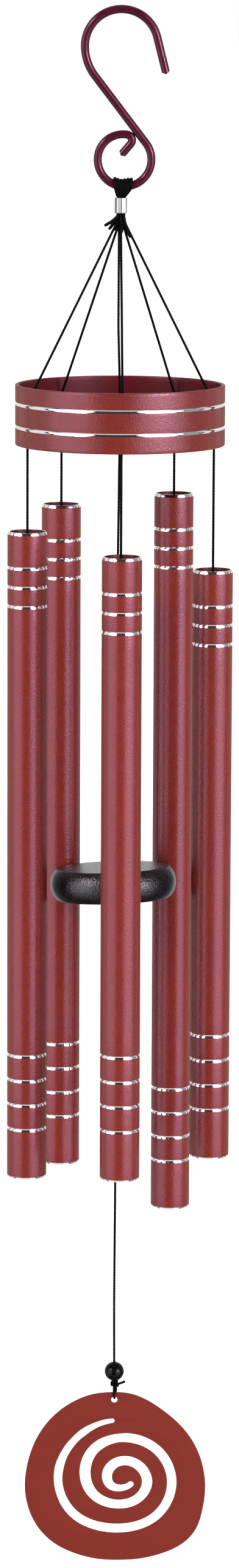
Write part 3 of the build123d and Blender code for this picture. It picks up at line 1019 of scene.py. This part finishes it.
def tube_outline(length):
    """Heights are measured from the top of the tube."""
    outer, inner, low = TUBE_R, TUBE_IN, -length
    tube = Outline()

    def wall(z, span):
        cuts = max(2, int(span / 14.0))
        tube.line([(outer, z - span * (i + 1) / (cuts + 1)) for i in range(cuts)])

    # bare metal over the turned top end
    tube.line([(inner, -0.34)])
    tube.line([(inner + 0.1, -0.1), (inner + 0.32, 0.0), (outer - 0.84, 0.0)], BRIGHT)
    tube.line([(outer - 0.67, -0.05), (outer - 0.58, -0.18), (outer - 0.34, -1.08)], BRIGHT)
    tube.line([(outer - 0.09, -2.08), (outer - LIP, -2.2)], BRIGHT)
    tube.line([(outer - 0.012, -2.27), (outer, -2.38)])
    # three bands near the top and four near the bottom
    drops = [28.5 + i * 15.4 for i in range(3)]
    drops += [length - 40.5 - i * 20.2 for i in reversed(range(4))]
    z = -2.4
    for drop in drops:
        wall(z, drop - BAND_CLEAR + z)
        tube.band(outer, -drop, depth=0.35)
        z = -drop - BAND_CLEAR
    wall(z, length - 0.9 + z)
    # bare metal over the turned bottom end
    tube.line([(outer, low + 1.56), (outer - 0.012, low + 1.46)])
    tube.line([(outer - LIP, low + 1.4), (outer - 0.09, low + 1.32)], BRIGHT)
    tube.line([(outer - 0.12, low + 1.2), (outer - 0.40, low + 0.22)], BRIGHT)
    tube.line([(outer - 0.45, low + 0.08), (outer - 0.58, low)], BRIGHT)
    tube.line([(inner + 0.3, low), (inner + 0.1, low + 0.1)], BRIGHT)
    # the inner wall takes the darkened coat: painted shade
    tube.line([(inner, low + 0.35)], INNER_SHADED)
    rows = max(8, int(length / 24))
    tube.line([(inner, z) for z in np.linspace(low + 4, -4, rows)], INNER_SHADED)
    return tube


def chime_tube(name, x, y, top, bottom):
    outline = tube_outline(top - bottom)
    verts, faces, mats = lathe(outline.points, 168, outline.mats)
    build = Build().add(verts + np.array((x, y, top)), faces, mats)
    tube = build.done(f"chime_tube_{name}", [red_coat, polished, inner_coat_shaded], 45)
    register(tube, "red_coat", ride=f"tube_{name}", replaces=f"tube_{name}")


def cross_pin(name, mid, along, side):
    """The pin through a tube, its ends dressed flush and coated over."""
    seg = 40
    turn = around(seg)
    up = np.array((0.0, 0.0, 1.0))
    # (distance from the middle, radius) from an end inward
    half = [(TUBE_R + 0.12, 0.5), (TUBE_R + 0.10, 1.1), (TUBE_R + 0.05, 1.42)]
    half += [(d, PIN_R) for d in (TUBE_R - 0.05, TUBE_R - 0.6, TUBE_IN, 9.0, 3.0)]
    stations = [(-d, r) for d, r in half] + [(0.0, PIN_R)] + half[::-1]
    rings = [
        mid + along * d + r * (np.cos(turn)[:, None] * side + np.sin(turn)[:, None] * up)
        for d, r in stations
    ]
    tip = along * (TUBE_R + 0.125)
    mats = np.repeat([1] * 4 + [0] * 8 + [1] * 4, seg)
    caps = np.ones(2 * seg, int)
    build = Build().add(*skin(rings, mid - tip, mid + tip), np.r_[mats, caps])
    pin = build.done(f"pin_{name}", [pin_metal, red_coat], 40)
    register(pin, "pin_metal", ride=f"tube_{name}", replaces=f"cross_pin_{name}")


def pin_loop(name, mid, side):
    """The loop round a pin, gathered in a knot."""
    wrap = PIN_R + LOOP_R + 0.05

    def leg(sign):
        return hermite(
            mid + side * sign * 0.9 + np.array((0, 0, LOOP_RISE - 0.4)),
            mid + side * sign * wrap,
            np.array((0, 0, -6.0)) + side * sign * 2.0,
            (0, 0, -7.0),
            30,
        )

    under = [
        mid - side * wrap * cos(a) - np.array((0, 0, wrap * sin(a)))
        for a in np.linspace(0.05, pi - 0.05, 30)
    ]
    build = Build().add(*sweep(leg(-1) + under + leg(1)[::-1], LOOP_R, step=0.3))
    knot_mid = mid + np.array((0, 0, LOOP_RISE + 0.3))
    build.add(*knot(knot_mid, 2.45, 0.82, side, rng.uniform(0, 6), 14))
    # the short cut end of the loop, lying against the cord
    out = mid + side * 1.2 + np.array((0, 0, LOOP_RISE + 0.8))
    line = hermite(out, out + side * 2.6 + np.array((0, 0, 3.2)), side * 3, (0, 0, 4.0), 20)
    build.add(*sweep(line, 0.82, seg=14, step=0.3))
    frayed(build, line, r=0.8, count=6)
    finish_cord(
        build, f"loop_on_pin_{name}", ride=f"loop_{name}", replaces=f"pin_loop_{name}"
    )


def drop_cord(name, x, y, top, pin_z):
    """The cord from the ring to the knot in the tube."""
    bow = CORD_BOW.get(name, 0.0)
    line = dense(
        [
            (x, y, stop_knot_z),
            (x + bow, y, flex_z - 3.0),
            (x + bow, y, top + 2.0),
            (x, y, pin_z + LOOP_RISE + 0.6),
        ],
        0.5,
    )
    upper, lower = ((x * MM, y * MM, (flex_z + dz) * MM) for dz in (3.2, -3.2))
    finish_cord(
        Build().add(*sweep(line, 1.05, step=0.3)), f"drop_cord_{name}",
        blend=("ring", f"cord_{name}", upper, lower), replaces=f"tube_cord_{name}",
    )


for name, (pin_bearing, _) in TUBES.items():
    lo, hi = mm_box(f"tube_{name}")
    x, y = (lo[0] + hi[0]) / 2, (lo[1] + hi[1]) / 2
    pin_lo, pin_hi = mm_box(f"cross_pin_{name}")
    pin_z = (pin_lo[2] + pin_hi[2]) / 2
    mid = np.array((x, y, pin_z))
    along_x, along_y = at_bearing(1.0, pin_bearing)
    side = np.array((-along_y, along_x, 0.0))
    chime_tube(name, x, y, top=hi[2], bottom=lo[2])
    cross_pin(name, mid, np.array((along_x, along_y, 0.0)), side)
    pin_loop(name, mid, side)
    drop_cord(name, x, y, hi[2], pin_z)

# ===========================================================================
# striker and its cord
# ===========================================================================
striker_z = plumb_z("striker_tilt")
striker_half = 12.7
face_r, striker_r, bore_r = 45.5, 50.8, 2.3


def striker_profile():
    """Flat faces, a side that bulges in one arc, and rounded corners between them."""
    half = striker_half
    arc_mid = (striker_r**2 - face_r**2 - half**2) / (2 * (striker_r - face_r))
    bulge = striker_r - arc_mid
    reach = atan2(half, face_r - arc_mid) - 0.085
    arc = [
        (arc_mid + bulge * cos(a), bulge * sin(a)) for a in np.linspace(reach, -reach, 60)
    ]
    top = [(bore_r, half - 0.6), (bore_r + 0.15, half - 0.2), (bore_r + 0.5, half)]
    top += [(r, half) for r in np.linspace(5, face_r - 1.3, 18)]
    start, corner, end = (np.array(q) for q in ((face_r - 1.3, half), (face_r, half), arc[0]))
    for i in range(1, 8):
        q = i / 8
        top.append(tuple((1 - q) ** 2 * start + 2 * q * (1 - q) * corner + q * q * end))
    bore = [(bore_r, z) for z in np.linspace(-half + 2, half - 2, 8)]
    return top + arc + [(r, -z) for r, z in reversed(top)] + bore


# the disc sits a little tipped on its cord
tip_axis = Vector((0.8192, 0.5735, 0.0)).normalized()
tipped = np.array(Matrix.Rotation(radians(-4.88), 3, tip_axis))
verts, faces, mats = lathe(striker_profile(), 288)
verts = verts @ tipped.T + np.array((0, 0, striker_z))
striker = Build().add(verts, faces, mats).done("striker_body", [striker_black], 50)
striker.data.transform(on_striker_line)
register(striker, "striker_black", ride="striker", replaces="striker_disc")

striker_knot_z = striker_z - striker_half - 0.45 - 3.0
line = dense([(0, 0, disc_bottom + 0.3), (0, 0, striker_knot_z - 1.0)], 0.5)
build = Build().add(*sweep(line, 1.0))
build.add(*knot((0, 0, striker_knot_z + 0.1), 3.2, 1.12, (0.25, 1, 0.1), 0.4, 16))
finish_cord(
    build, "striker_line_cord", tilt=on_striker_line, replaces="striker_cord",
    blend=(
        "ring", "striker_line",
        axis_point(disc_bottom + 0.2, on_striker_line),
        axis_point(disc_bottom - 3.0, on_striker_line),
    ),
)

# ===========================================================================
# sail line, bead and hanging loop
# ===========================================================================
bead_lo, bead_hi = mm_box("sail_bead")
sail_flex_z = plumb_z("sail_line_swing")
bead_z = sail_flex_z - (Vector((bead_lo + bead_hi) / 2) - line_low).length
bead_r, bead_bore = 7.85, 1.15
sail_knot_z = -1112.4
sail_hole_z, sail_hole_r = -1126.65, 2.6
cord_r = 0.85

line_start, line_end = striker_knot_z + 0.5, bead_z - 7.2
line = []
for q in np.linspace(0, 1, 400):
    bow = 1.5 * sin(pi * min(1.0, q / 0.92)) ** 2  # the line is not quite straight
    line.append((bow, 0.0, line_start + (line_end - line_start) * q))
finish_cord(
    Build().add(*sweep(line, 0.98)), "sail_line_cord", tilt=on_sail_line,
    replaces="sail_cord",
    blend=(
        "striker_line", "sail_line",
        axis_point(sail_flex_z + 1.8, on_striker_line),
        axis_point(sail_flex_z - 3.6, on_sail_line),
    ),
)

mouth = math.acos((bead_bore + 0.35) / bead_r)
profile = [(bead_r * cos(a), bead_r * sin(a)) for a in np.linspace(mouth, -mouth, 72)]
mouth_z = profile[0][1]
profile += [(bead_bore + 0.12, -mouth_z + 0.05), (bead_bore, -mouth_z + 0.4)]
profile += [(bead_bore, z) for z in np.linspace(-mouth_z + 1.5, mouth_z - 1.5, 6)]
profile += [(bead_bore, mouth_z - 0.4), (bead_bore + 0.12, mouth_z - 0.05)]
verts, faces, mats = lathe(profile, 120)
build = Build().add(verts + np.array((0, 0, bead_z)), faces, mats)
bead = build.done("bead_ball", [bead_black], 40)
bead.data.transform(on_sail_line)
register(bead, "bead_black", ride="bead", replaces="sail_bead")

loop_z = sail_hole_z + sail_hole_r - cord_r - 0.15  # where it bears on the hole
leg_y, leg_z = 2.0, sail_hole_z + 7.3
line = fillet_line(
    [
        (-0.3, -0.7, sail_knot_z + 0.2),
        (-0.35, -leg_y, leg_z),
        (0.0, -leg_y, loop_z),
        (0.05, leg_y, loop_z),
        (1.35, leg_y, leg_z),
        (1.3, 0.7, sail_knot_z + 0.2),
    ],
    radius=1.2,
    steps=10,
)
build = Build().add(*sweep(line, 0.98, step=0.26))
build.add(*knot((0.5, 0, sail_knot_z - 0.1), 3.9, 1.2, (0.1, 1, 0.2), 1.0, 16))
# the second turn of the knot, wrapped level
line = [
    (0.4 + 2.5 * cos(a), 2.1 * sin(a), sail_knot_z - 2.0 + 0.5 * a / pi + 0.3 * sin(a))
    for a in np.linspace(-0.6, 2 * pi - 0.2, 60)
]
build.add(*sweep(line, 1.05, seg=16, step=0.26))
# the cut end, standing out to +X
line = hermite(
    (1.6, -0.6, sail_knot_z - 0.9), (8.3, -1.2, sail_knot_z + 1.3),
    (7.0, -1.5, 0.4), (5.0, 0.0, 2.0),
)


def cut_end_radius(s):
    return 0.96 + 0.16 * np.clip((s - s[-1] + 2.2) / 2.2, 0, 1)


build.add(*sweep(line, cut_end_radius, seg=16, step=0.28))
frayed(build, line, r=0.95, count=10)
finish_cord(
    build, "sail_hanging_loop", tilt=on_sail_line, ride="sail_hanger", replaces="sail_loop"
)

# ===========================================================================
# wind sail: a flat plate with a spiral slot, hung by a hole near its top
# ===========================================================================
# x, z of the edge, from the middle of the hole
SAIL_EDGE = (
    (-0.9, 6.2), (11.0, 5.4), (23.5, 1.2), (39.8, -9.2), (55.4, -23.4),
    (66.1, -39.0), (72.3, -55.9), (74.5, -74.7), (72.3, -93.5), (66.0, -111.7),
    (54.8, -123.4), (38.5, -131.2), (19.7, -135.7), (1.6, -136.7),
    (-11.6, -136.1), (-30.4, -131.8), (-49.2, -122.7), (-62.9, -109.1),
    (-71.0, -92.2), (-73.9, -73.4), (-71.7, -54.6), (-64.2, -33.2),
    (-49.2, -13.0), (-32.9, -1.3), (-17.9, 4.5),
)
# x, z of the slot's middle line from its outer end to its inner end, and its width
SAIL_SPIRAL = (
    (-1.85, -18.0, 3.6), (-31.5, -33.0, 5.4), (-46.5, -66.2, 6.6),
    (-35.0, -96.0, 7.4), (0.9, -109.6, 7.9), (34.0, -99.0, 7.6),
    (46.9, -72.7, 7.5), (36.5, -44.5, 7.9), (5.9, -32.5, 8.3),
    (-17.5, -43.0, 8.8), (-24.3, -62.3, 9.0), (-17.5, -80.5, 8.5),
    (3.4, -89.1, 8.0), (20.5, -83.0, 8.2), (26.7, -70.2, 8.4),
    (20.5, -56.8, 8.3), (7.7, -52.0, 8.2), (-2.6, -56.5, 8.4),
    (-6.3, -65.6, 8.4), (-3.6, -72.6, 7.4), (4.0, -75.3, 6.0),
    (13.1, -72.1, 4.9),
)
SAIL_HALF = 1.0  # half the plate's thickness
SAIL_SOFT = 0.42  # rounding of its edges


def smooth_curve(points, periodic, count):
    """A cubic spline through the points, spaced by chord length."""
    p = np.array(points, float)
    if periodic:
        p = np.vstack([p, p[0]])
    dist = np.r_[0, np.cumsum(np.linalg.norm(np.diff(p, axis=0), axis=1))]
    n = len(p)
    h = np.diff(dist)
    slope = np.diff(p, axis=0) / h[:, None]
    system = np.zeros((n, n))
    rhs = np.zeros((n, p.shape[1]))
    for i in range(1, n - 1):
        system[i, i - 1 : i + 2] = h[i], 2 * (h[i - 1] + h[i]), h[i - 1]
        rhs[i] = 3 * (h[i] * slope[i - 1] + h[i - 1] * slope[i])
    if periodic:
        system[0, 0], system[0, -1] = 1, -1
        system[-1, 0] = 2 * (h[-1] + h[0])
        system[-1, 1] = h[-1]
        system[-1, -2] += h[0]
        rhs[-1] = 3 * (h[0] * slope[-1] + h[-1] * slope[0])
    else:
        # the first two and the last two spans each share one cubic
        for end, near, first, second in ((0, 1, 0, 1), (-1, -2, -1, -2)):
            both = h[first] + h[second]
            system[end, end], system[end, near] = h[second], both
            rhs[end] = (
                (h[first] + 2 * both) * h[second] * slope[first]
                + h[first] ** 2 * slope[second]
            ) / both
    rate = np.linalg.solve(system, rhs)
    s = np.linspace(0, dist[-1], count, endpoint=not periodic)
    span = np.clip(np.searchsorted(dist, s, side="right") - 1, 0, n - 2)
    q = ((s - dist[span]) / h[span])[:, None]
    width = h[span][:, None]
    return (
        (2 * q**3 - 3 * q**2 + 1) * p[span]
        + (q**3 - 2 * q**2 + q) * width * rate[span]
        + (-2 * q**3 + 3 * q**2) * p[span + 1]
        + (q**3 - q**2) * width * rate[span + 1]
    )


def half_round(start, end, way, steps=14):
    """A half circle from start to end, bulging along `way`."""
    mid = (start + end) / 2
    arm = start - mid
    r = np.linalg.norm(arm)
    return [
        mid + arm * cos(pi * i / steps) + way * r * sin(pi * i / steps)
        for i in range(1, steps)
    ]


def spiral_slot():
    stations = np.array(SAIL_SPIRAL)
    middle = smooth_curve(stations[:, :2], False, 420)
    way = tangents(middle)
    normal = np.stack([-way[:, 1], way[:, 0]], 1)
    widths = []
    for point in middle:
        # weigh the widths of the two nearest stations
        dist = np.linalg.norm(stations[:, :2] - point, axis=1)
        a, b = np.argsort(dist)[:2]
        total = stations[a, 2] * dist[b] + stations[b, 2] * dist[a]
        widths.append(total / (dist[a] + dist[b]))
    widths = np.convolve(np.pad(widths, 6, mode="edge"), np.ones(13) / 13, "valid")
    left = middle + normal * widths[:, None] / 2
    right = middle - normal * widths[:, None] / 2
    return (
        list(left)
        + half_round(left[-1], right[-1], way[-1])
        + list(right[::-1])
        + half_round(right[0], left[0], -way[0])
    )


def sail_mesh():
    """The plate as a filled curve with rounded edges, turned to stand in XZ."""
    curve = bpy.data.curves.new("sail_shape", "CURVE")
    curve.dimensions = "2D"
    curve.fill_mode = "BOTH"
    hole = [
        (sail_hole_r * cos(a), sail_hole_r * sin(a))
        for a in np.linspace(0, 2 * pi, 72, endpoint=False)
    ]
    for loop in (smooth_curve(SAIL_EDGE, True, 420), spiral_slot(), hole):
        spline = curve.splines.new("POLY")
        spline.points.add(len(loop) - 1)
        for i, (x, z) in enumerate(loop):
            spline.points[i].co = (x * MM, z * MM, 0.0, 1.0)
        spline.use_cyclic_u = True
    curve.extrude = (SAIL_HALF - SAIL_SOFT) * MM
    curve.bevel_depth = SAIL_SOFT * MM
    curve.offset = -SAIL_SOFT * MM
    curve.bevel_resolution = 4
    shape = bpy.data.objects.new("sail_shape", curve)
    bpy.context.scene.collection.objects.link(shape)
    bpy.context.view_layer.update()
    depsgraph = bpy.context.evaluated_depsgraph_get()
    mesh = bpy.data.meshes.new_from_object(shape.evaluated_get(depsgraph))
    bpy.data.objects.remove(shape)
    mesh.name = "sail_plate"
    edit = bmesh.new()
    edit.from_mesh(mesh)
    bmesh.ops.remove_doubles(edit, verts=edit.verts, dist=1e-6)
    bmesh.ops.dissolve_degenerate(edit, edges=edit.edges, dist=1e-7)
    bmesh.ops.recalc_face_normals(edit, faces=edit.faces)
    edit.to_mesh(mesh)
    edit.free()
    lift = Matrix.Translation((0, 0, sail_hole_z * MM))
    mesh.transform(on_sail_line @ lift @ Matrix.Rotation(radians(90), 4, "X"))
    mesh.materials.clear()
    mesh.materials.append(sail_coat)
    mesh.shade_smooth()
    mesh.set_sharp_from_angle(angle=radians(35))
    return mesh


sail = bpy.data.objects.new("sail_plate", sail_mesh())
bpy.context.scene.collection.objects.link(sail)
register(sail, "sail_coat", ride="sail", replaces="wind_sail")

# ===========================================================================
# studio: light from all round, painted by direction in the world
# ===========================================================================
scene = bpy.context.scene
scene.view_settings.view_transform = "Standard"
scene.view_settings.look = "None"

# Directions are in degrees. Azimuth is 0 toward the camera and grows toward +X.
# azimuth, half width, elevation, half height, level, softness of the edge
SOFTBOXES = (
    (47, 27, -6, 44, 3.7, 0.2),
    (-57, 28, -6, 44, 2.9, 0.2),
    # the lamps inside the boxes show through as hot spots
    (46, 7.5, 11, 7.5, 27.0, 0.9),
    (-50, 7, 31, 7, 27.0, 0.9),
    (0, 42, -50, 15, 2.2, 0.2),
)
# azimuth from and to, elevation from and to, level
PANELS = (
    (77, 103, -50, 50, 0.30),
    (-121, -91, -50, 50, 0.78),
    (107, 121, -50, 50, 0.75),
    (129, 178, -60, 70, 0.76),
    (-178, -128, -60, 70, 0.76),
)
AMBIENT = 0.045

world = bpy.data.worlds.new("studio")
scene.world = world
world.use_nodes = True
g = Graph(world.node_tree)
split = g.fill(g.node("SeparateXYZ"), {0: g.node("TexCoord").outputs["Generated"]})
toward_camera = g.math("MULTIPLY", split.outputs["Y"], -1.0)
azimuth = g.math("ARCTAN2", split.outputs["X"], toward_camera)
elevation = g.math("ARCSINE", split.outputs["Z"])


def ramp(value, start, end, to=(0, 1)):
    """A smooth change between two angles in degrees."""
    return g.remap(value, span=(radians(start), radians(end)), to=to, smooth=True)


def window(value, start, end, soft):
    """1 between start and end, falling to 0 over `soft` degrees."""
    rise = ramp(value, start - soft / 2, start + soft / 2)
    fall = ramp(value, end - soft / 2, end + soft / 2, to=(1, 0))
    return g.math("MULTIPLY", rise, fall)


def panel(az_from, az_to, el_from, el_to, level):
    across = window(azimuth, az_from, az_to, soft=3.0)
    shape = g.math("MULTIPLY", across, window(elevation, el_from, el_to, soft=6.0))
    return g.math("MULTIPLY", shape, level)


def softbox(az_mid, az_half, el_mid, el_half, level, edge):
    """A softbox with rounded sides, falling off over its last part."""

    def offset(value, mid, half):
        away = g.math("ABSOLUTE", g.math("SUBTRACT", value, radians(mid)))
        return g.math("POWER", g.math("DIVIDE", away, radians(half)), 2.6)

    reach = g.math(
        "ADD", offset(azimuth, az_mid, az_half), offset(elevation, el_mid, el_half)
    )
    lit = g.remap(reach, span=(1 - edge, 1 + edge), to=(level, 0.0), smooth=True)
    # dimmer toward the floor
    return g.math("MULTIPLY", lit, ramp(elevation, -34, 2, to=(0.35, 1.05)))


lights = [softbox(*row) for row in SOFTBOXES] + [panel(*row) for row in PANELS]
# closes the gap between the two panels at the far side
seam = ramp(g.math("ABSOLUTE", azimuth), 174, 179, to=(0, 0.76))
lights.append(g.math("MULTIPLY", seam, window(elevation, -60, 70, soft=6)))
# ceiling and floor bounce
lights.append(ramp(elevation, 58, 72, to=(0, 0.40)))
lights.append(ramp(elevation, -62, -75, to=(0, 0.30)))
lights.append(AMBIENT)
total = lights[0]
for light in lights[1:]:
    total = g.math("ADD", total, light)

tint = g.mix(ramp(azimuth, -40, 40), (1.0, 0.985, 0.96), (0.985, 0.985, 1.0))
lighting = g.fill(g.node("Background"), {"Color": tint, "Strength": total})
# the camera itself sees plain white
backdrop = g.fill(g.node("Background"), {"Color": (1.0, 1.0, 1.0), "Strength": 1.0})
is_camera = g.node("LightPath").outputs["Is Camera Ray"]
mixed = g.fill(
    g.node("MixShader"), {0: is_camera, 1: lighting.outputs[0], 2: backdrop.outputs[0]}
)
g.fill(g.node("OutputWorld"), {0: mixed.outputs[0]})

# floor: pale, seen by the camera, with the soft shadow of whatever hangs over it
FLOOR_R, FLOOR_Z = 60.0, -1.42  # metres
edit = bmesh.new()
bmesh.ops.create_circle(edit, cap_ends=True, cap_tris=False, segments=128, radius=FLOOR_R)
mesh = bpy.data.meshes.new("studio_floor")
edit.to_mesh(mesh)
edit.free()
floor = bpy.data.objects.new("studio_floor", mesh)
floor.location = (0, 0, FLOOR_Z)
scene.collection.objects.link(floor)
paper, g, bsdf = new_material("floor_paper")
grain = g.noise(g.coords(), scale=3.0, detail=3.0, rough=0.5)
g.fill(bsdf, {
    "Base Color": g.mix(
        g.remap(grain, span=(0.3, 0.7)), (0.60, 0.60, 0.60), (0.59, 0.59, 0.59)
    ),
    "Roughness": 0.9,
    "Specular IOR Level": 0.0,
    "Emission Color": (1.0, 1.0, 1.0),
    "Emission Strength": 0.80,
})
mesh.materials.append(paper)
floor.visible_diffuse = False
floor.visible_glossy = False
floor.visible_transmission = False
floor.visible_shadow = False

# ===========================================================================
# camera: in front of the chime, looking toward +Y and a little down
# ===========================================================================
CAMERA_AT = (0, -4.1105, 0.0664)  # metres
LOOK_DOWN, ROLL = 9.4, 0.24  # degrees
camera_data = bpy.data.cameras.new("camera")
camera = bpy.data.objects.new("camera", camera_data)
scene.collection.objects.link(camera)
camera_data.sensor_fit = "VERTICAL"
camera_data.sensor_height = 36.0
camera_data.lens = 118.78882
camera_data.shift_x = 0.000621118
camera_data.clip_start = 0.05
camera_data.clip_end = 300.0
camera.matrix_world = (
    Matrix.Translation(CAMERA_AT)
    @ Matrix.Rotation(radians(90 - LOOK_DOWN), 4, "X")
    @ Matrix.Rotation(radians(ROLL), 4, "Z")
)
scene.camera = camera
